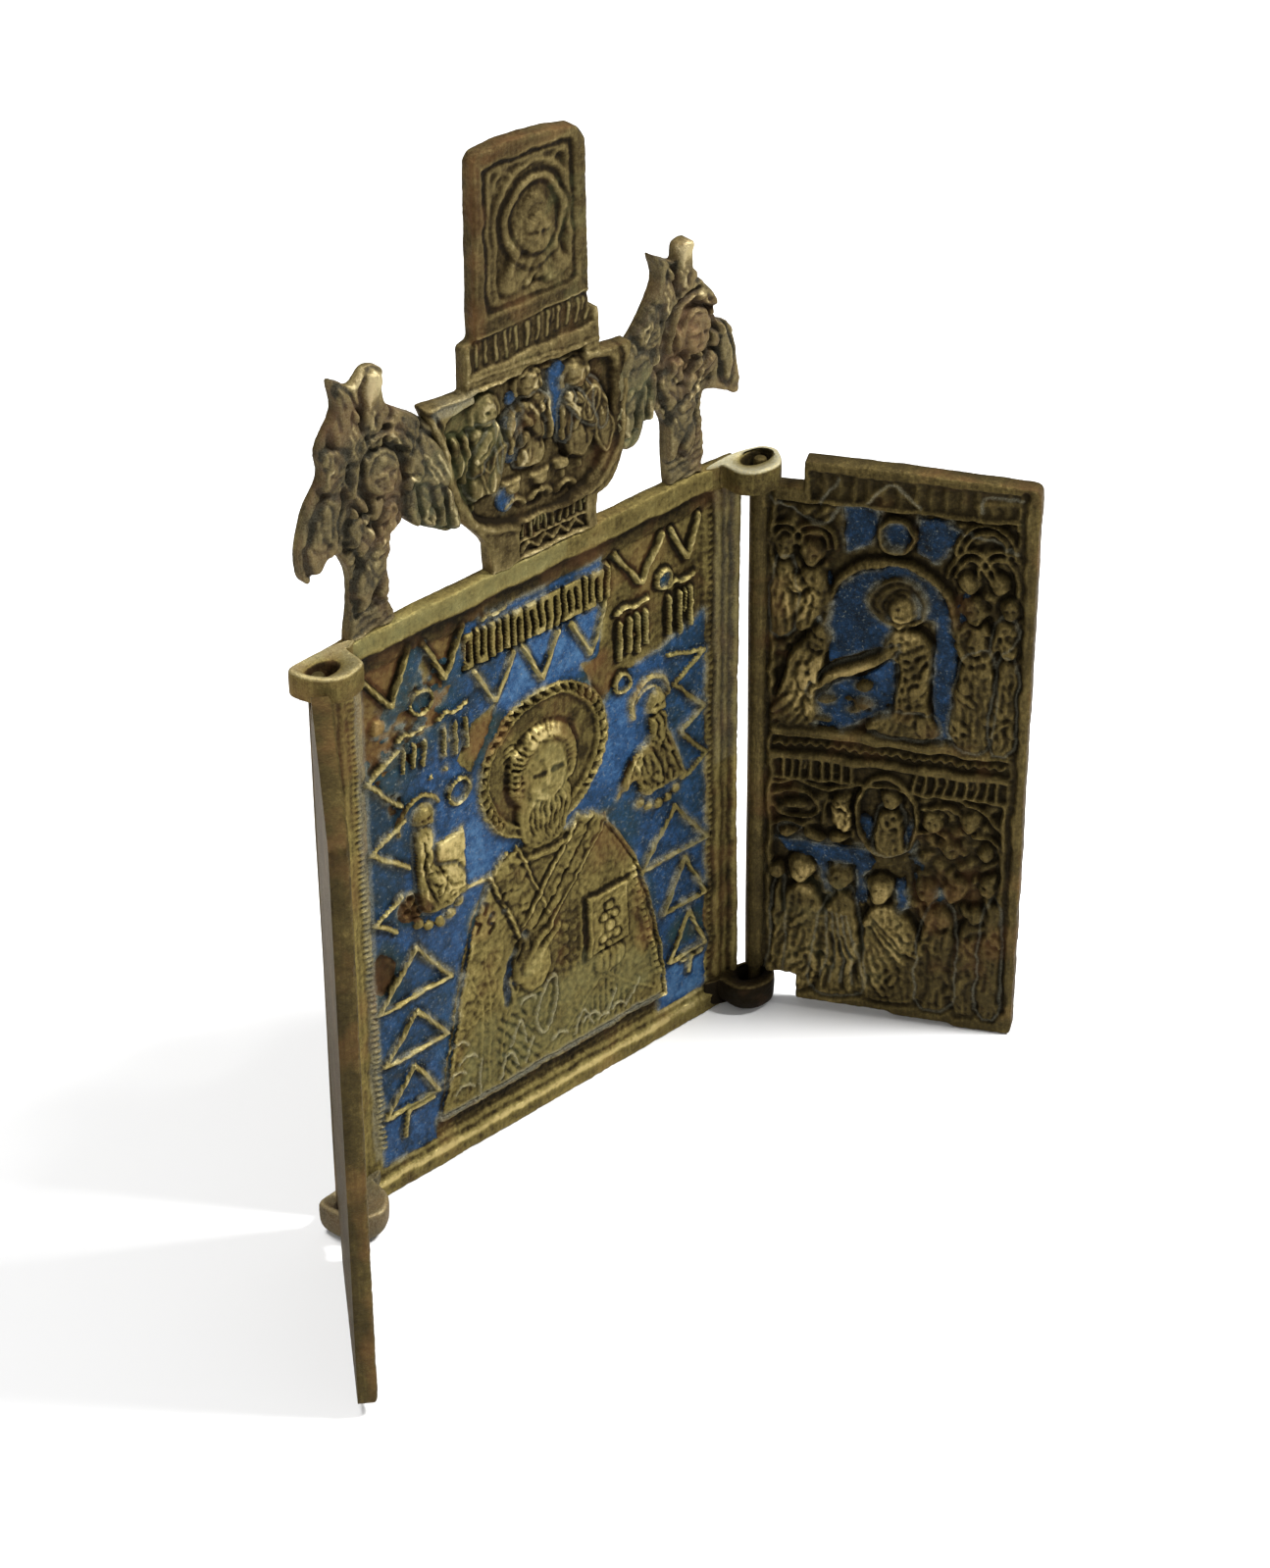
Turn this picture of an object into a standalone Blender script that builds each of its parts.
"""Folding triptych icon, cast brass: a centre panel with a crest, and two hinged wings.

Sizes are in millimetres and the model is built in metres. X runs to the right, Z up, and the front
faces -Y. The panel stands with its underside at Z = 0, centred on the origin.
"""

import math

import bmesh
import bpy
import numpy as np
from mathutils import Vector
from mathutils.geometry import delaunay_2d_cdt

MM = 0.001

# Centre panel
PANEL_W = 70.0
PANEL_H = 86.0
PANEL_T = 2.0
FIELD_H = 1.0
FIGURE_H = 1.65
STROKE_H = 1.5
RIM_SLOPE = 0.35
SIDE_WAIST = 0.7
CORNER_DROOP = 0.6

# Hinges: the axis stands outside the panel and in front of it
AXIS_OUT = 1.5
AXIS_FORWARD = 1.6
EAR_H = 3.6
LOW_EAR_H = 4.4
EAR_LIFT = 0.4
EAR_RISE = 0.2
EAR_FOOT = 0.66
EAR_SHOULDER = 0.5
SLOT_HALF_LONG = 2.1
SLOT_HALF_WIDTH = 1.3
SLOT_IN = 1.6
SLOT_OUT = 0.2
PIN_R = 0.85
BAR_R = 1.35
BAR_END_GAP = 0.05
PIN_ROOT = 1.5
PIN_BELOW_TOP = 0.7
PIN_ABOVE_FOOT = 0.5
EAR_GAP = 0.4

# Wings
WING_T = 2.4
WING_MEET_GAP = 0.2
WING_TOP_RISE = 0.3
WING_DROOP = 0.45
WING_LEAN = 0.55
WING_FIELD = 1.15
WING_LAYOUT_W = 36.3
NOTCH_LONG = 5.9
RIGHT_OPEN_DEG = 56.7
LEFT_OPEN_DEG = 53.9

# Crest, measured up from the panel's top edge
CREST_T = 2.0
CREST_SLANT = -0.1
SLANT_FROM = 12.0
STEM_TOP = 4.2
SHIELD_TOP = 25.2
BASE_TOP = 31.5
PLAQUE_TOP = 56.0
PLAQUE_HALF = 8.8
BASE_HALF = 10.7
SHIELD_HALF = 16.4
STEM_HALF = 8.6
CREST_SET_BACK = 0.05
SERAPH_T = 1.5
SERAPH_OUT = 25.0
SERAPH_SET_BACK = 0.1

# The sheet that the relief was laid out on
LAYOUT_W = 70.0
LAYOUT_H = 86.0
RELIEF_SHIFT = 0.8
SPAN_X = PANEL_W / LAYOUT_W
SPAN_Z = PANEL_H / LAYOUT_H

AXIS_X = PANEL_W / 2 + AXIS_OUT
AXIS_Y = -PANEL_T / 2 - AXIS_FORWARD
WING_W = AXIS_X - WING_MEET_GAP


def clear_scene():
    for obj in list(bpy.data.objects):
        bpy.data.objects.remove(obj, do_unlink=True)


def metal(name, colour, roughness):
    material = bpy.data.materials.new(name)
    material.use_nodes = True
    shader = material.node_tree.nodes["Principled BSDF"]
    shader.inputs["Base Color"].default_value = (*colour, 1.0)
    shader.inputs["Metallic"].default_value = 0.85
    shader.inputs["Roughness"].default_value = roughness
    return material


# Flat outlines, as arrays of (x, z) running counter-clockwise
def anticlockwise(loop):
    loop = np.asarray(loop, float)
    nxt = np.roll(loop, -1, axis=0)
    area = (loop[:, 0] * nxt[:, 1] - nxt[:, 0] * loop[:, 1]).sum()
    return loop if area > 0 else loop[::-1].copy()


def ellipse(cx, cz, rx, rz, count=16, lean=0.0):
    t = np.linspace(0, 2 * math.pi, count, endpoint=False)
    x, z = rx * np.cos(t), rz * np.sin(t)
    c, s = math.cos(math.radians(lean)), math.sin(math.radians(lean))
    return np.stack([cx + x * c - z * s, cz + x * s + z * c], 1)


def box(x0, z0, x1, z1):
    return np.array([(x0, z0), (x1, z0), (x1, z1), (x0, z1)], float)


def mirrored(loop):
    return anticlockwise(np.asarray(loop, float) * (-1, 1))


def bar(x0, z0, x1, z1, width):
    """A straight raised line of this width."""
    a, b = np.array([x0, z0], float), np.array([x1, z1], float)
    side = np.array([-(b - a)[1], (b - a)[0]]) / np.linalg.norm(b - a) * width / 2
    return anticlockwise([a - side, b - side, b + side, a + side])


def inset(loop, distance):
    """The loop moved inwards, each corner along the bisector of its two sides."""
    before, after = loop - np.roll(loop, 1, axis=0), np.roll(loop, -1, axis=0) - loop
    n1 = np.stack([-before[:, 1], before[:, 0]], 1) / np.linalg.norm(before, axis=1)[:, None]
    n2 = np.stack([-after[:, 1], after[:, 0]], 1) / np.linalg.norm(after, axis=1)[:, None]
    return loop + distance * (n1 + n2) / np.maximum(1 + (n1 * n2).sum(1), 0.35)[:, None]


def rounded(loop, radii, steps=3):
    """The loop with each corner cut back to an arc of the radius given for it."""
    loop, out = np.asarray(loop, float), []
    for i, p in enumerate(loop):
        a, b = loop[i - 1] - p, loop[(i + 1) % len(loop)] - p
        la, lb = np.linalg.norm(a), np.linalg.norm(b)
        cut = min(radii[i], la * 0.45, lb * 0.45)
        if cut <= 0.01:
            out.append(p)
            continue
        p0, p2 = p + a / la * cut, p + b / lb * cut
        for k in range(steps + 1):
            t = k / steps
            out.append((1 - t) ** 2 * p0 + 2 * t * (1 - t) * p + t * t * p2)
    return np.array(out)


def depth_inside(points, loop):
    """Distance of each point from the loop, positive inside it."""
    end = np.roll(loop, -1, axis=0)
    step = end - loop
    rel = points[:, None] - loop[None]
    along = np.clip((rel * step).sum(2) / (step * step).sum(1), 0, 1)
    near = np.sqrt(((rel - along[..., None] * step) ** 2).sum(2)).min(1)
    rise = np.where(step[:, 1] == 0, 1e-12, step[:, 1])
    hit = loop[:, 0] + (points[:, None, 1] - loop[:, 1]) * step[:, 0] / rise
    spans = (loop[None, :, 1] > points[:, None, 1]) != (end[None, :, 1] > points[:, None, 1])
    inside = (spans & (points[:, None, 0] < hit)).sum(1) % 2 == 1
    return np.where(inside, near, -near)


class Relief:
    """A flat-backed casting: an outline, its holes, and raised or sunk areas of the front."""

    def __init__(self, outline, thickness):
        self.outline = anticlockwise(outline)
        self.thickness = thickness
        self.areas = []

    def sink(self, loop, height, slope=RIM_SLOPE):
        self.areas.append(("sink", anticlockwise(loop), height, slope))

    def lift(self, loop, height, slope=RIM_SLOPE):
        self.areas.append(("lift", anticlockwise(loop), height, slope))

    def heights(self, points):
        level = np.full(len(points), self.thickness)
        for kind, loop, height, slope in self.areas:
            depth = depth_inside(points, loop)
            part = np.clip(depth / slope, 0, 1)
            if kind == "sink":
                lowered = level + (height - level) * part
                level = np.where(depth > 0, np.minimum(level, lowered), level)
            else:
                raised = level + (height - level) * part
                level = np.where(depth > 0, np.maximum(level, raised), level)
        return level

    def mesh(self, name):
        loops = [self.outline]
        for _, loop, _, slope in self.areas:
            loops += [loop, inset(loop, slope)]
        points, edges = [], []
        for loop in loops:
            start = len(points)
            points += [Vector(p) for p in loop.tolist()]
            edges += [(start + i, start + (i + 1) % len(loop)) for i in range(len(loop))]
        flat, faces = triangulated(points, edges, self.outline)
        height = self.heights(flat)
        rim = boundary(faces)
        return closed_mesh(name, flat, height, faces, rim, self.outline)


def triangulated(points, edges, outline):
    """Triangles of the region inside the outline, with every given edge kept."""
    result = delaunay_2d_cdt(points, edges, [], 0, 1e-4)
    flat = np.array([tuple(v) for v in result[0]])
    faces = np.array([tuple(f) for f in result[2]])
    middle = flat[faces].mean(axis=1)
    faces = faces[depth_inside(middle, outline) > 0]
    corner = flat[faces]
    ab, ac = corner[:, 1] - corner[:, 0], corner[:, 2] - corner[:, 0]
    turned = ab[:, 0] * ac[:, 1] - ab[:, 1] * ac[:, 0] < 0
    faces[turned] = faces[turned][:, ::-1]
    used, index = np.unique(faces, return_inverse=True)
    return flat[used], index.reshape(faces.shape)


def boundary(faces):
    """The directed edges that belong to one triangle only."""
    ends = np.concatenate([faces[:, [0, 1]], faces[:, [1, 2]], faces[:, [2, 0]]])
    there = {tuple(e) for e in ends.tolist()}
    return [e for e in there if (e[1], e[0]) not in there]


def closed_mesh(name, flat, height, faces, rim, outline):
    """Front at its heights, flat back at 0, and walls between. Local y is minus the height."""
    ring = sorted({v for edge in rim for v in edge})
    place = {v: i for i, v in enumerate(ring)}
    back_points = [Vector(p) for p in flat[ring].tolist()]
    back_edges = [(place[a], place[b]) for a, b in rim]
    back, back_faces = triangulated(back_points, back_edges, outline)
    if len(back) != len(ring):
        raise RuntimeError(name + ": the back has other corners than the front")
    find = {tuple(np.round(p, 5)): i for i, p in enumerate(back)}
    count = len(flat)
    verts = [(p[0], -h, p[1]) for p, h in zip(flat, height)]
    verts += [(p[0], 0.0, p[1]) for p in back]
    polys = [tuple(f) for f in faces.tolist()]
    polys += [tuple(count + v for v in f[::-1]) for f in back_faces.tolist()]
    for a, b in rim:
        low_a = count + find[tuple(np.round(flat[a], 5))]
        low_b = count + find[tuple(np.round(flat[b], 5))]
        polys.append((b, a, low_a, low_b))
    mesh = bpy.data.meshes.new(name)
    mesh.from_pydata([tuple(c * MM for c in v) for v in verts], [], polys)
    mesh.update()
    return mesh


def prism(name, outline, hole, z0, z1):
    """An upright prism of the outline, with one hole through it."""
    outline = anticlockwise(outline)
    loops = [outline] + ([anticlockwise(hole)] if hole is not None else [])
    points, edges = [], []
    for loop in loops:
        start = len(points)
        points += [Vector(p) for p in loop.tolist()]
        edges += [(start + i, start + (i + 1) % len(loop)) for i in range(len(loop))]
    flat, faces = triangulated(points, edges, outline)
    if hole is not None:
        middle = flat[faces].mean(axis=1)
        faces = faces[depth_inside(middle, loops[1]) < 0]
    count = len(flat)
    verts = [(p[0], p[1], z1) for p in flat] + [(p[0], p[1], z0) for p in flat]
    polys = [tuple(f) for f in faces.tolist()]
    polys += [tuple(count + v for v in f[::-1]) for f in faces.tolist()]
    for a, b in boundary(faces):
        polys.append((b, a, count + a, count + b))
    mesh = bpy.data.meshes.new(name)
    mesh.from_pydata([tuple(c * MM for c in v) for v in verts], [], polys)
    mesh.update()
    return add_object(name, mesh)


def add_object(name, mesh):
    obj = bpy.data.objects.new(name, mesh)
    bpy.context.scene.collection.objects.link(obj)
    return obj


def join_to(target, others):
    """Boolean union of the others into the target, which is applied and the others removed."""
    for other in others:
        modifier = target.modifiers.new("join", "BOOLEAN")
        modifier.operation = "UNION"
        modifier.solver = "EXACT"
        modifier.object = other
        bpy.context.view_layer.update()
        graph = bpy.context.evaluated_depsgraph_get()
        mesh = bpy.data.meshes.new_from_object(target.evaluated_get(graph))
        target.modifiers.clear()
        target.data = mesh
        bpy.data.objects.remove(other, do_unlink=True)


# Relief on the centre panel, laid out on the sheet and then spanned to the panel
def on_panel(loop):
    return np.asarray(loop, float) * (SPAN_X, SPAN_Z)


def on_field(loop):
    """The field's relief sits a little to the right of the plate's middle."""
    return on_panel(np.asarray(loop, float) + (RELIEF_SHIFT, 0))


def panel_figures(panel):
    """The bishop, the two small half figures and the zigzag border."""
    halo_x, halo_z, halo_r, halo_band = 0.2, 54.6, 11.2, 1.7
    panel.lift(on_field(ellipse(halo_x, halo_z, halo_r, halo_r, 28)), STROKE_H, 0.3)
    panel.sink(on_field(ellipse(halo_x, halo_z, halo_r - halo_band, halo_r - halo_band, 28)), 1.25, 0.3)
    robe = [(-6.0, 43.5), (-10.2, 40.0), (-13.6, 33.0), (-16.0, 24.5), (-18.0, 15.0), (-19.6, 7.4)]
    robe += [(20.8, 7.4), (19.6, 16.0), (17.6, 26.0), (15.0, 33.0), (11.6, 39.6), (7.0, 43.2)]
    panel.lift(on_field(robe), FIGURE_H, 0.6)
    for x0, x1, width in ((-7.4, -2.4, 4.4), (8.0, -1.6, 4.4)):
        panel.lift(on_field(bar(x0, 41.6, x1, 30.2, width)), PANEL_T - 0.15, 0.3)
    panel.lift(on_field(box(-4.6, 8.2, 1.6, 20.0)), PANEL_T - 0.18, 0.3)
    panel.lift(on_field(ellipse(0.0, 52.6, 5.2, 7.2, 14)), FIGURE_H, 0.6)
    panel.lift(on_field(ellipse(0.6, 52.4, 3.5, 6.0, 12)), PANEL_T - 0.12, 1.1)
    panel.lift(on_field(ellipse(0.6, 45.2, 3.7, 3.9, 10)), PANEL_T - 0.2, 0.8)
    panel.lift(on_field(ellipse(-2.4, 23.6, 2.7, 3.4, 10)), PANEL_T - 0.1, 0.8)
    panel.lift(on_field(ellipse(-0.7, 27.4, 1.1, 2.4, 8, -12)), PANEL_T - 0.1, 0.5)
    panel.lift(on_field(box(6.8, 20.4, 14.2, 29.8)), PANEL_T - 0.1, 0.4)
    panel.lift(on_field(ellipse(10.6, 18.4, 3.1, 2.3, 10)), PANEL_T - 0.1, 0.7)
    for side, x, z in ((-1, 18.6, 56.0), (1, 18.6, 56.6)):
        panel.lift(on_field(ellipse(side * x, z, 2.9, 3.1, 10)), 1.35, 0.3)
        panel.lift(on_field(ellipse(side * x, z, 1.7, 2.3, 10)), FIGURE_H, 0.5)
        body = [(x - 1.6, z - 3.4), (x - 3.8, z - 7.0), (x - 4.2, z - 13.0), (x + 2.6, z - 14.4)]
        body += [(x + 4.2, z - 9.0), (x + 2.2, z - 4.0)]
        body = np.array(body)
        panel.lift(on_field(body if side > 0 else mirrored(body)), FIGURE_H - 0.1, 0.5)
        for k in range(4):
            cloud = ellipse(side * (x - 3.0 + 2.2 * k), z - 16.2 + 0.5 * (k % 2), 1.6, 1.7, 8)
            panel.lift(on_field(cloud), STROKE_H, 0.5)


def panel_zigzags(panel):
    """Raised zigzag lines round the field: pairs of strokes that meet in a point."""
    stroke = 0.85
    points_down = [(-24.6, -28.6, -21.8, 80.0, 74.2), (-16.0, -19.2, -13.2, 80.4, 74.4)]
    points_down += [(-7.8, -11.2, -4.6, 72.8, 67.4), (0.0, -3.2, 3.0, 72.8, 67.4)]
    points_down += [(8.2, 5.2, 10.8, 72.8, 67.4), (16.8, 12.8, 20.2, 79.8, 73.8)]
    points_down += [(24.9, 22.2, 27.2, 79.4, 74.2)]
    for x, x0, x1, top, tip in points_down:
        tick(panel, (x0, top), (x, tip), (x1, top), stroke)
    for x, z, rise in ((-28.4, 65.4, 4.6), (-28.4, 54.2, 4.0), (-28.4, 43.0, 3.6)):
        tick(panel, (x + 5.0, z + rise * 0.6), (x, z), (x + 4.8, z - rise), stroke)
    for x, z, rise in ((27.8, 59.2, 3.8), (28.0, 50.2, 4.2), (28.0, 42.8, 3.2)):
        tick(panel, (x - 4.6, z + rise), (x, z), (x - 4.8, z - rise * 0.7), stroke)
    triangles = [(-22.4, 35.8, -28.4, -16.8, 29.0), (-22.4, 26.4, -28.0, -18.0, 20.6)]
    triangles += [(-23.3, 18.4, -28.0, -19.6, 12.4), (22.6, 36.2, 17.0, 28.4, 29.0)]
    triangles += [(24.5, 27.2, 20.9, 28.3, 20.4), (25.5, 18.4, 22.0, 28.2, 12.0)]
    for tip_x, tip_z, x0, x1, base in triangles:
        whole = anticlockwise([(x0, base), (x1, base), (tip_x, tip_z)])
        panel.lift(on_field(whole), STROKE_H, 0.2)
        panel.sink(on_field(inset(whole, stroke)), FIELD_H, 0.2)
    for x, z, r in ((-19.9, 72.8, 2.0), (20.8, 72.8, 1.7), (-14.4, 56.8, 2.0), (13.6, 60.2, 1.6)):
        panel.lift(on_field(ellipse(x, z, r, r, 12)), STROKE_H, 0.2)
        panel.sink(on_field(ellipse(x, z, r - 0.75, r - 0.75, 12)), FIELD_H, 0.15)


def tick(panel, start, tip, end, stroke):
    """Two strokes that meet at the tip, as one bent strip."""
    start, tip, end = (np.array(p, float) for p in (start, tip, end))
    d1, d2 = (tip - start) / np.linalg.norm(tip - start), (end - tip) / np.linalg.norm(end - tip)
    n1, n2 = np.array([-d1[1], d1[0]]), np.array([-d2[1], d2[0]])
    mitre = (n1 + n2) / max(1 + n1 @ n2, 0.3) * stroke / 2
    half = stroke / 2
    strip = [start + n1 * half, tip + mitre, end + n2 * half]
    strip += [end - n2 * half, tip - mitre, start - n1 * half]
    panel.lift(on_field(anticlockwise(strip)), STROKE_H, 0.2)


def stroke_band(piece, x0, x1, z0, z1, count, height, place):
    """A row of upright strokes in place of an inscription."""
    pitch = (x1 - x0) / count
    for k in range(count):
        x = x0 + (k + 0.5) * pitch
        inner = 0.12 * (z1 - z0) * ((k * 7) % 3)
        strip = box(x - pitch * 0.24, z0 + inner, x + pitch * 0.24, z1)
        piece.lift(place(strip), height, min(0.15, pitch * 0.1))


def build_panel_plate():
    """The framed plate, with a field sunk inside a bevelled frame."""
    half, top = PANEL_W / 2, PANEL_H
    waist, shoulder = half - SIDE_WAIST, top - CORNER_DROOP
    edge = [(-half, 0), (half, 0), (waist, top * 0.45), (half, shoulder), (half * 0.76, top)]
    edge += [(-half * 0.76, top), (-half, shoulder), (-waist, top * 0.45)]
    plate = Relief(rounded(edge, [0.8, 0.8, 6.0, 0.8, 0.0, 0.0, 0.8, 6.0]), PANEL_T)
    plate.sink(on_panel(box(-33.4, 2.2, 33.4, 83.6)), PANEL_T - 0.55, 0.5)
    plate.lift(on_panel(box(-32.0, 3.4, -30.9, 82.4)), PANEL_T - 0.15, 0.3)
    plate.lift(on_panel(box(31.2, 3.4, 32.3, 82.4)), PANEL_T - 0.15, 0.3)
    plate.lift(on_panel(box(-30.2, 4.4, -28.9, 81.6)), PANEL_T - 0.25, 0.3)
    plate.lift(on_panel(box(29.6, 4.4, 30.8, 81.6)), PANEL_T - 0.25, 0.3)
    plate.sink(on_panel(box(-28.5, 4.2, 29.2, 81.0)), FIELD_H, 0.4)
    panel_zigzags(plate)
    stroke_band(plate, -12.4, 11.8, 74.2, 79.4, 14, STROKE_H, on_field)
    panel_figures(plate)
    obj = add_object("center_panel", plate.mesh("center_panel"))
    obj.location = (0, PANEL_T / 2 * MM, 0)
    return obj


# Crest above the panel
def on_crest(loop):
    """Crest layout to the panel's frame. The upper part slants down to the right."""
    loop = np.asarray(loop, float)
    above = np.clip((loop[:, 1] - SLANT_FROM) / (SHIELD_TOP - SLANT_FROM), 0, 1)
    z = loop[:, 1] + CREST_SLANT * loop[:, 0] * above
    return np.stack([loop[:, 0] * SPAN_X, z + PANEL_H], 1)


def crest_outline():
    """Stem, shield, stroke base and plaque, up the right side and down the left."""
    foot, curve_x, stem_x = -1.2, STEM_HALF + 1.6, STEM_HALF - 1.2
    outline = [(-stem_x, foot), (STEM_HALF + 1.4, foot), (STEM_HALF + 1.2, STEM_TOP - 1.6), (curve_x, STEM_TOP)]
    for k in range(1, 6):
        turn = math.pi / 2 * k / 6
        x = curve_x + (SHIELD_HALF - 1.2 - curve_x) * math.sin(turn)
        outline.append((x, STEM_TOP + 10.0 * (1 - math.cos(turn))))
    outline += [(SHIELD_HALF - 0.8, 18.0), (SHIELD_HALF - 0.4, SHIELD_TOP), (BASE_HALF, SHIELD_TOP)]
    outline += [(BASE_HALF, BASE_TOP - 0.3), (PLAQUE_HALF + 0.3, BASE_TOP + 0.3)]
    outline += [(PLAQUE_HALF, PLAQUE_TOP - 1.8), (PLAQUE_HALF - 1.3, PLAQUE_TOP)]
    outline += [(PLAQUE_HALF * 0.4, PLAQUE_TOP + 0.6), (-PLAQUE_HALF * 0.4, PLAQUE_TOP + 0.7)]
    outline += [(-PLAQUE_HALF + 0.9, PLAQUE_TOP), (-PLAQUE_HALF, PLAQUE_TOP - 1.0)]
    outline += [(-PLAQUE_HALF - 0.3, BASE_TOP + 0.3), (-BASE_HALF, BASE_TOP - 0.3)]
    outline += [(-BASE_HALF, SHIELD_TOP), (-SHIELD_HALF - 1.0, SHIELD_TOP), (-SHIELD_HALF + 1.4, 20.0)]
    outline += [(-SHIELD_HALF + 2.4, 14.2), (-SHIELD_HALF + 4.2, STEM_TOP + 5.4)]
    outline += [(-stem_x - 2.2, STEM_TOP + 2.4), (-stem_x - 0.2, STEM_TOP - 0.2)]
    return outline


# Both seraphim hold their upper wings the same way. Only the side wings are mirrored.
LEFT_SERAPH = [(-4.5, -1.2), (-4.3, 4.0), (-4.1, 8.8), (-5.4, 12.0), (-7.1, 13.4), (-9.4, 11.4)]
LEFT_SERAPH += [(-11.0, 10.8), (-11.6, 14.5), (-10.3, 19.5), (-7.7, 23.6), (-7.8, 27.3)]
LEFT_SERAPH += [(-5.2, 31.6), (-5.6, 35.4), (-4.2, 34.9), (-2.4, 33.8), (-0.4, 35.3), (1.4, 35.0)]
LEFT_SERAPH += [(2.4, 33.8), (1.7, 30.6), (5.0, 27.6), (8.0, 25.4), (12.0, 20.0), (13.0, 10.0)]
LEFT_SERAPH += [(13.0, 8.4), (11.1, 8.8), (8.1, 10.4), (5.4, 12.2), (4.3, 13.4), (2.6, 11.8)]
LEFT_SERAPH += [(1.4, 8.6), (1.4, 4.0), (2.2, -1.2)]
RIGHT_SERAPH = [(-1.8, -1.2), (-2.8, 4.5), (-3.1, 9.5), (-5.2, 12.0), (-7.8, 8.7), (-9.8, 8.2)]
RIGHT_SERAPH += [(-11.6, 12.0), (-11.6, 20.0), (-7.4, 24.7), (-4.5, 29.5), (-5.2, 33.3)]
RIGHT_SERAPH += [(-4.0, 32.8), (-1.4, 31.3), (-0.8, 33.3), (1.4, 33.3), (1.0, 30.2), (2.9, 27.2)]
RIGHT_SERAPH += [(4.9, 24.4), (5.4, 20.9), (8.4, 18.6), (9.8, 9.4), (6.8, 10.2), (4.4, 11.3)]
RIGHT_SERAPH += [(3.0, 10.6), (3.4, 6.6), (3.0, -1.2)]
SERAPH_HALO = {-1: (0.1, 20.8), 1: (0.9, 20.3)}


def seraph(side):
    """The relief of one seraph: a face in the middle with wings laid round it."""
    centre = side * SERAPH_OUT

    def place(loop):
        loop = np.asarray(loop, float) + (centre, 0)
        return loop * (SPAN_X, 1) + (0, PANEL_H)

    outline = LEFT_SERAPH if side < 0 else RIGHT_SERAPH
    out = 11.0 if side < 0 else 9.0
    piece = Relief(anticlockwise(place(outline)), SERAPH_T)
    for x0, z0, x1, z1, width in (
        (-2.2, 25.6, -4.4, 31.6, 2.4),
        (0.2, 25.6, -0.4, 32.6, 1.6),
        (side * 6.2, 21.6, side * out * 0.85, 12.4, 1.8),
        (side * -5.4, 22.6, side * -8.2, 11.4, 2.2),
        (-1.4, 13.4, 1.0, 7.4, 1.9),
    ):
        piece.lift(place(bar(x0, z0, x1, z1, width)), CREST_T, 0.5)
    x, z = SERAPH_HALO[side]
    piece.lift(place(ellipse(x, z, 4.4, 5.8, 14)), CREST_T + 0.1, 0.6)
    piece.sink(place(ellipse(x, z, 3.3, 4.7, 12)), CREST_T - 0.35, 0.3)
    piece.lift(place(ellipse(x + 0.5, z - 0.1, 2.4, 3.6, 10)), CREST_T + 0.5, 1.2)
    obj = add_object("seraph", piece.mesh("seraph"))
    obj.location = (0, (PANEL_T / 2 - SERAPH_SET_BACK) * MM, 0)
    return obj


def build_crest():
    """Shield with three seated winged figures, the stroke base, and the plaque with a head."""
    crest = Relief(on_crest(crest_outline()), CREST_T)
    low, high = STEM_TOP + 1.2, SHIELD_TOP - 1.2
    shield = [(-SHIELD_HALF + 8.8, low + 1.2), (-SHIELD_HALF + 6.2, low + 4.6)]
    shield += [(-SHIELD_HALF + 4.2, 14.4), (-SHIELD_HALF + 3.4, 19.6), (-SHIELD_HALF + 1.4, high)]
    shield += [(SHIELD_HALF - 2.0, high), (SHIELD_HALF - 2.2, 17.0)]
    shield += [(SHIELD_HALF - 3.4, low + 5.0), (SHIELD_HALF - 6.4, low + 0.4)]
    crest.sink(on_crest(shield), CREST_T - 0.9, 0.4)
    for x, z, lean in ((-7.4, 15.8, -6), (-0.5, 18.2, 0), (7.4, 15.8, 6)):
        crest.lift(on_crest(ellipse(x, z + 2.9, 1.8, 1.9, 10)), CREST_T - 0.15, 0.5)
        crest.lift(on_crest(ellipse(x, z - 1.6, 2.4, 3.8, 10, lean)), CREST_T - 0.2, 0.8)
        crest.lift(on_crest(ellipse(x - 2.8, z - 0.6, 0.9, 3.3, 8, lean - 8)), CREST_T - 0.35, 0.5)
        crest.lift(on_crest(ellipse(x + 2.8, z - 0.6, 0.9, 3.3, 8, lean + 8)), CREST_T - 0.35, 0.5)
    for x in (-5.2, -0.8, 3.6, 7.4):
        crest.lift(on_crest(ellipse(x, 8.2, 1.5, 1.1, 8)), CREST_T - 0.25, 0.4)
    stroke_band(crest, -9.0, 9.0, BASE_TOP - 5.0, BASE_TOP - 1.6, 10, CREST_T + 0.3, on_crest)
    bottom, top = BASE_TOP + 1.6, PLAQUE_TOP - 2.2
    crest.sink(on_crest(box(-PLAQUE_HALF + 1.6, bottom, PLAQUE_HALF - 1.6, top)), CREST_T - 0.7, 0.4)
    middle = (bottom + top) / 2 - 1.0
    crest.lift(on_crest(ellipse(0.4, middle + 1.2, 5.6, 7.4, 16)), CREST_T - 0.25, 0.3)
    crest.sink(on_crest(ellipse(0.4, middle + 1.0, 4.5, 6.2, 14)), CREST_T - 0.65, 0.3)
    crest.lift(on_crest(ellipse(0.4, middle + 0.4, 3.3, 5.0, 12)), CREST_T - 0.1, 1.0)
    crest.lift(on_crest(ellipse(-3.2, middle - 5.4, 2.3, 2.1, 10)), CREST_T - 0.2, 0.6)
    crest.lift(on_crest(ellipse(4.0, middle - 5.4, 2.3, 2.1, 10)), CREST_T - 0.2, 0.6)
    obj = add_object("crest", crest.mesh("crest"))
    obj.location = (0, (PANEL_T / 2 - CREST_SET_BACK) * MM, 0)
    return obj


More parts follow.
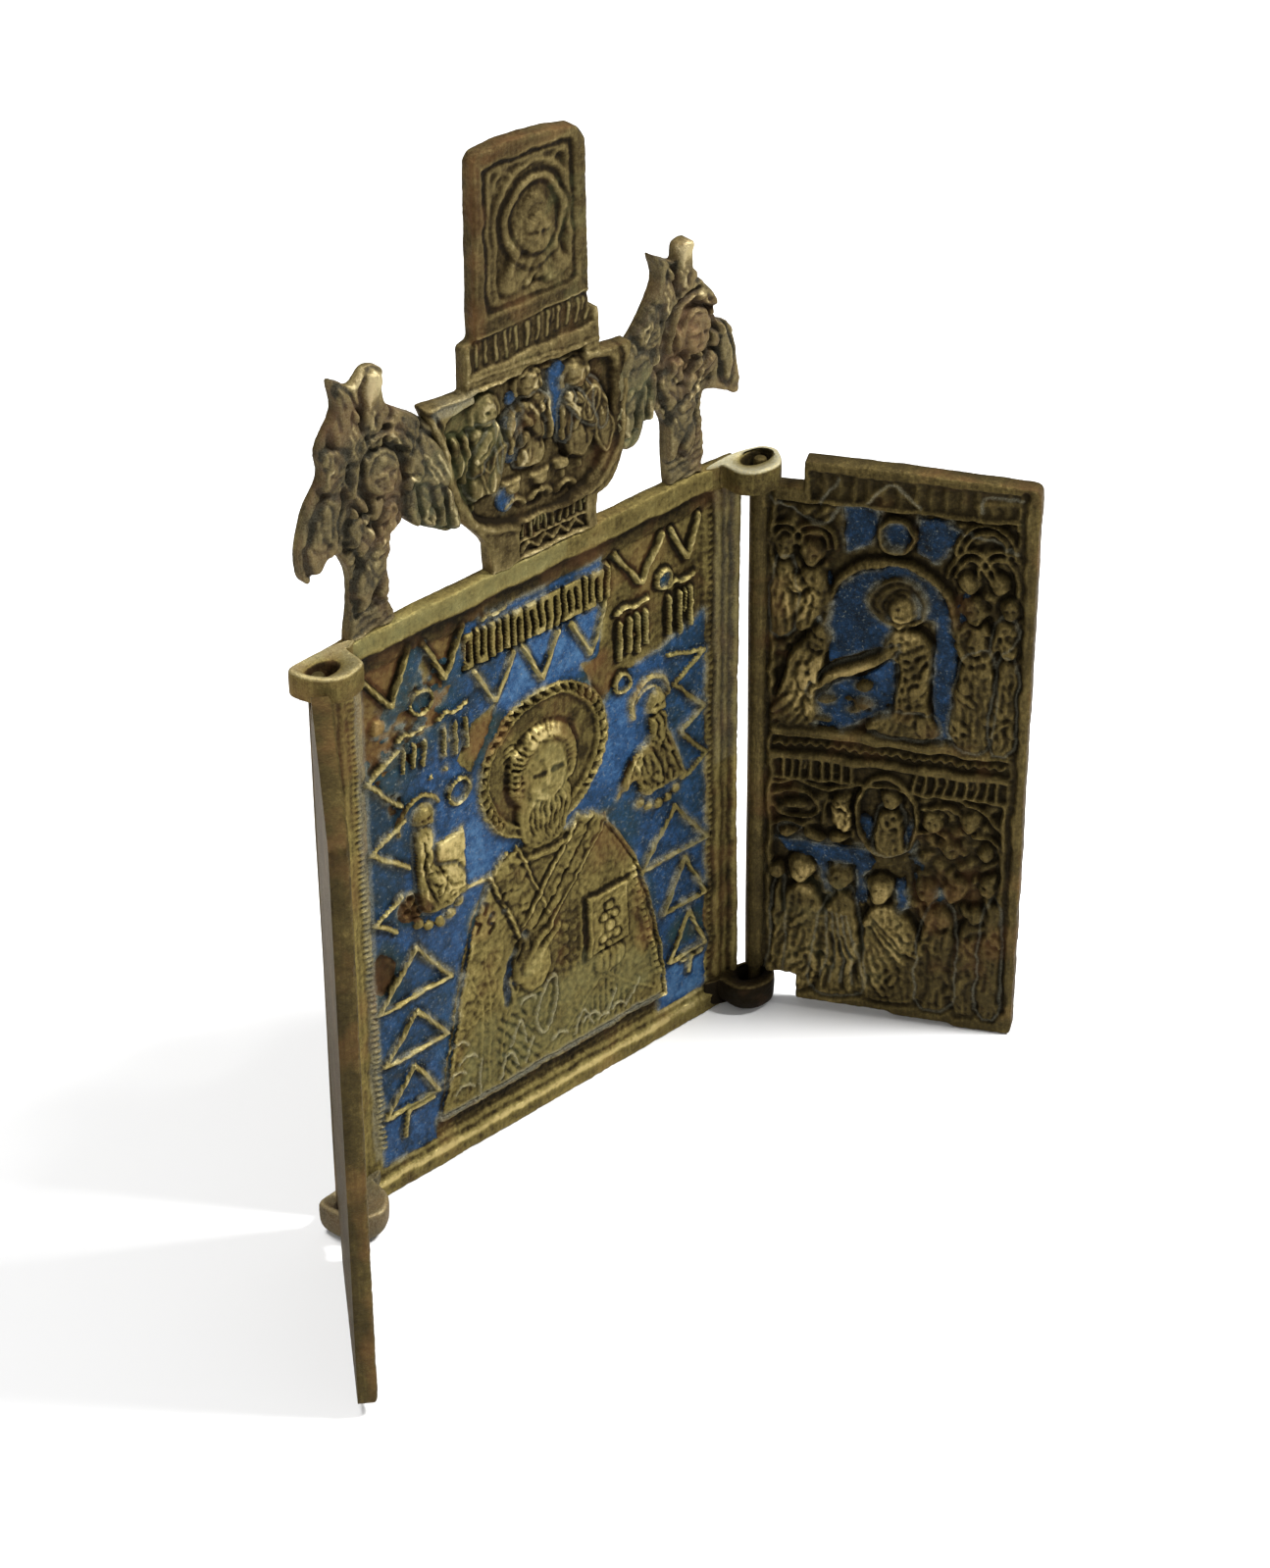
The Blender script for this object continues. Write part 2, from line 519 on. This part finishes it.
# Ears and wings
# Ear plans: outwards and forwards from the hinge axis, and no two of the four are cast alike
LEFT_EAR = [(-7.4, -2.3), (-6.2, -1.35), (-5.5, -1.2), (-5.2, 1.8), (-4.4, 2.9), (-1.6, 3.6)]
LEFT_EAR += [(0.6, 2.8), (2.15, 0.7), (2.8, -1.5), (2.3, -2.6), (0.0, -2.9), (-4.0, -3.0)]
RIGHT_EAR = [(-7.6, -2.1), (-6.2, -1.35), (-5.5, -1.2), (-5.4, 1.2), (-4.5, 2.7), (-3.0, 3.6)]
RIGHT_EAR += [(-0.6, 3.8), (0.7, 3.1), (1.9, 1.6), (2.3, 0.4), (1.7, -1.0), (0.2, -1.8), (-3.0, -2.5)]
LOW_LEFT_EAR = [(-7.4, -2.3), (-6.2, -1.35), (-5.5, -1.2), (-5.2, 1.6), (-4.0, 3.6), (-1.9, 4.7)]
LOW_LEFT_EAR += [(0.6, 3.9), (2.3, 1.4), (2.8, -1.5), (2.3, -2.6), (0.0, -2.9), (-4.0, -3.0)]


def ear(side, plan, z0, z1, foot):
    """A boat-shaped ear, pierced with an upright slot that the wing's pin turns in.

    Below its shoulder the ear narrows to the share of its plan that foot gives.
    """
    plan = np.array(plan) * (side, -1)
    slot = ellipse((SLOT_OUT - SLOT_IN) / 2 * side, 0, SLOT_HALF_LONG, SLOT_HALF_WIDTH, 14)
    obj = prism("ear", plan, slot, z0, z1)
    if foot < 1:
        narrow_foot(obj, z0, z0 + (z1 - z0) * EAR_SHOULDER, foot)
    shift_mesh(obj, (side * AXIS_X, AXIS_Y, 0))
    return obj


def narrow_foot(obj, low, shoulder, share):
    """Cuts the outer walls at the shoulder and draws the outline below it in."""
    edit = bmesh.new()
    edit.from_mesh(obj.data)
    everything = edit.verts[:] + edit.edges[:] + edit.faces[:]
    bmesh.ops.bisect_plane(edit, geom=everything, plane_co=(0, 0, shoulder * MM), plane_no=(0, 0, 1))
    reach = (SLOT_HALF_LONG + SLOT_IN) * MM
    for vertex in edit.verts:
        outside = math.hypot(vertex.co.x, vertex.co.y * SLOT_HALF_LONG / SLOT_HALF_WIDTH) > reach
        if outside and abs(vertex.co.z - low * MM) < 1e-6:
            vertex.co.x *= share
            vertex.co.y *= share
    edit.to_mesh(obj.data)
    edit.free()


def wing_outline(side):
    """The leaf's edge, from the hinge outwards, with a notch round each ear."""
    top, high = PANEL_H + WING_TOP_RISE, PANEL_H + EAR_RISE - EAR_H - EAR_GAP
    low = EAR_LIFT + LOW_EAR_H + EAR_GAP
    outer_low = WING_W - WING_LEAN
    if side > 0:
        under = [(outer_low, 0.0), (WING_W * 0.77, 0.0), (WING_W * 0.74, 0.5), (WING_W * 0.54, 0.6)]
        under += [(WING_W * 0.51, 1.1), (NOTCH_LONG, 1.2)]
        radii = [0.9, 0.0, 0.0, 0.0, 0.0, 0.5]
    else:
        under = [(outer_low, 1.8), (WING_W * 0.8, 1.5), (WING_W * 0.4, 0.9), (NOTCH_LONG, 0.8)]
        radii = [1.6, 0.0, 0.0, 0.5]
    shape = [(0.0, high), (0.0, low), (NOTCH_LONG, low)]
    shape += under[::-1] + [(WING_W, top - WING_DROOP), (WING_W * 0.55, top)]
    shape += [(NOTCH_LONG, top - 0.05), (NOTCH_LONG, high)]
    shape = rounded(shape, [0.0, 0.0, 0.0] + radii[::-1] + [1.4, 0.0, 0.4, 0.0])
    return shape * (side, 1)


def robed(piece, place, x, z, tall, wide, height, lean=0.0):
    """A standing figure: a tapering robe, shoulders and a head."""
    piece.lift(place(ellipse(x, z + tall * 0.42, wide * 0.5, tall * 0.42, 10, lean)), height, 0.6)
    piece.lift(place(ellipse(x, z + tall * 0.9, wide * 0.34, tall * 0.13, 8)), height + 0.05, 0.5)


def wing(side):
    """One leaf: two framed scenes on its inner face and a plain back."""
    name = "right_wing" if side > 0 else "left_wing"
    span = WING_W / WING_LAYOUT_W

    def place(loop):
        return np.asarray(loop, float) * (side * span, SPAN_Z)

    leaf = Relief(wing_outline(side), WING_T)
    floor, figure = WING_FIELD, WING_T - 0.3
    leaf.sink(place(box(2.2, 45.4, 34.0, 80.2)), floor, 0.4)
    leaf.sink(place(box(2.2, 4.6, 33.6, 37.8)), floor, 0.4)
    leaf.sink(place(box(7.6, 81.4, 33.6, 84.6)), WING_T - 0.5, 0.2)
    leaf.sink(place(box(2.2, 42.0, 33.8, 44.4)), WING_T - 0.45, 0.2)
    stroke_band(leaf, 8.2, 33.0, 81.7, 84.3, 12, WING_T - 0.15, place)
    stroke_band(leaf, 2.6, 33.2, 38.4, 41.2, 14, WING_T + 0.1, place)
    leaf.lift(place(ellipse(17.6, 76.2, 2.7, 2.7, 12)), WING_T - 0.4, 0.3)
    leaf.sink(place(ellipse(17.6, 76.2, 1.7, 1.7, 10)), floor, 0.3)
    arch = [(9.0, 46.4), (25.6, 46.4)]
    arch += [(17.3 + 8.3 * math.cos(a), 63.0 + 9.6 * math.sin(a)) for a in np.linspace(0, math.pi, 12)]
    leaf.lift(place(arch), WING_T - 0.45, 0.3)
    leaf.sink(place(inset(anticlockwise(arch), 1.1)), floor, 0.3)
    robed(leaf, place, 20.2, 46.0, 21.0, 5.6, figure)
    leaf.lift(place(ellipse(18.2, 67.4, 3.2, 3.2, 12)), figure - 0.25, 0.3)
    leaf.lift(place(bar(8.0, 54.0, 17.8, 58.6, 1.7)), figure, 0.4)
    robed(leaf, place, 6.8, 46.0, 14.6, 5.4, figure, -8)
    for x, z, tall in ((4.2, 62.4, 15.0), (8.0, 64.6, 12.0), (28.4, 46.0, 19.0), (31.6, 48.0, 21.0)):
        robed(leaf, place, x, z, tall, 3.8, figure)
    leaf.lift(place(ellipse(17.4, 33.2, 4.2, 5.4, 14)), WING_T - 0.35, 0.3)
    leaf.sink(place(ellipse(17.4, 33.2, 3.2, 4.4, 12)), floor, 0.3)
    robed(leaf, place, 17.4, 29.6, 6.8, 3.4, figure)
    for x in (5.6, 10.4, 24.6, 29.6):
        leaf.lift(place(ellipse(x, 33.4, 2.3, 2.6, 10)), figure - 0.1, 0.6)
    for k, x in enumerate((4.8, 8.8, 12.9, 17.2, 21.6, 25.6, 29.8)):
        robed(leaf, place, x, 5.0, 18.4 - 0.5 * (k % 3), 4.4, figure)
    obj = add_object(name, leaf.mesh(name))
    high, low = PANEL_H + EAR_RISE - EAR_H - EAR_GAP, EAR_LIFT + LOW_EAR_H + EAR_GAP
    ring = ellipse(0, 0, BAR_R, BAR_R, 16)
    rod = ellipse(0, 0, PIN_R, PIN_R, 12)
    spine = prism("spine", ring, None, low + BAR_END_GAP, high - BAR_END_GAP)
    upper = prism("pin", rod, None, high - PIN_ROOT, PANEL_H + EAR_RISE - PIN_BELOW_TOP)
    lower = prism("pin", rod, None, EAR_LIFT + PIN_ABOVE_FOOT, low + PIN_ROOT)
    shift_mesh(obj, (0, WING_T / 2, 0))
    join_to(obj, [spine, upper, lower])
    turn = -RIGHT_OPEN_DEG if side > 0 else LEFT_OPEN_DEG
    obj.location = (side * AXIS_X * MM, AXIS_Y * MM, 0)
    obj.rotation_euler = (0, 0, math.radians(turn))
    return obj


def shift_mesh(obj, by):
    for vertex in obj.data.vertices:
        vertex.co += Vector(by) * MM


def build():
    clear_scene()
    panel = build_panel_plate()
    pieces = [build_crest(), seraph(-1), seraph(1)]
    top0, top1 = PANEL_H + EAR_RISE - EAR_H, PANEL_H + EAR_RISE
    for side, high_plan, low_plan in ((-1, LEFT_EAR, LOW_LEFT_EAR), (1, RIGHT_EAR, RIGHT_EAR)):
        pieces.append(ear(side, low_plan, EAR_LIFT, EAR_LIFT + LOW_EAR_H, EAR_FOOT))
        pieces.append(ear(side, high_plan, top0, top1, 1.0))
    join_to(panel, pieces)
    left, right = wing(-1), wing(1)
    for obj, colour in (
        (panel, (0.36, 0.27, 0.12)),
        (left, (0.33, 0.25, 0.12)),
        (right, (0.30, 0.22, 0.10)),
    ):
        obj.data.materials.clear()
        obj.data.materials.append(metal("brass_" + obj.name, colour, 0.42))


build()
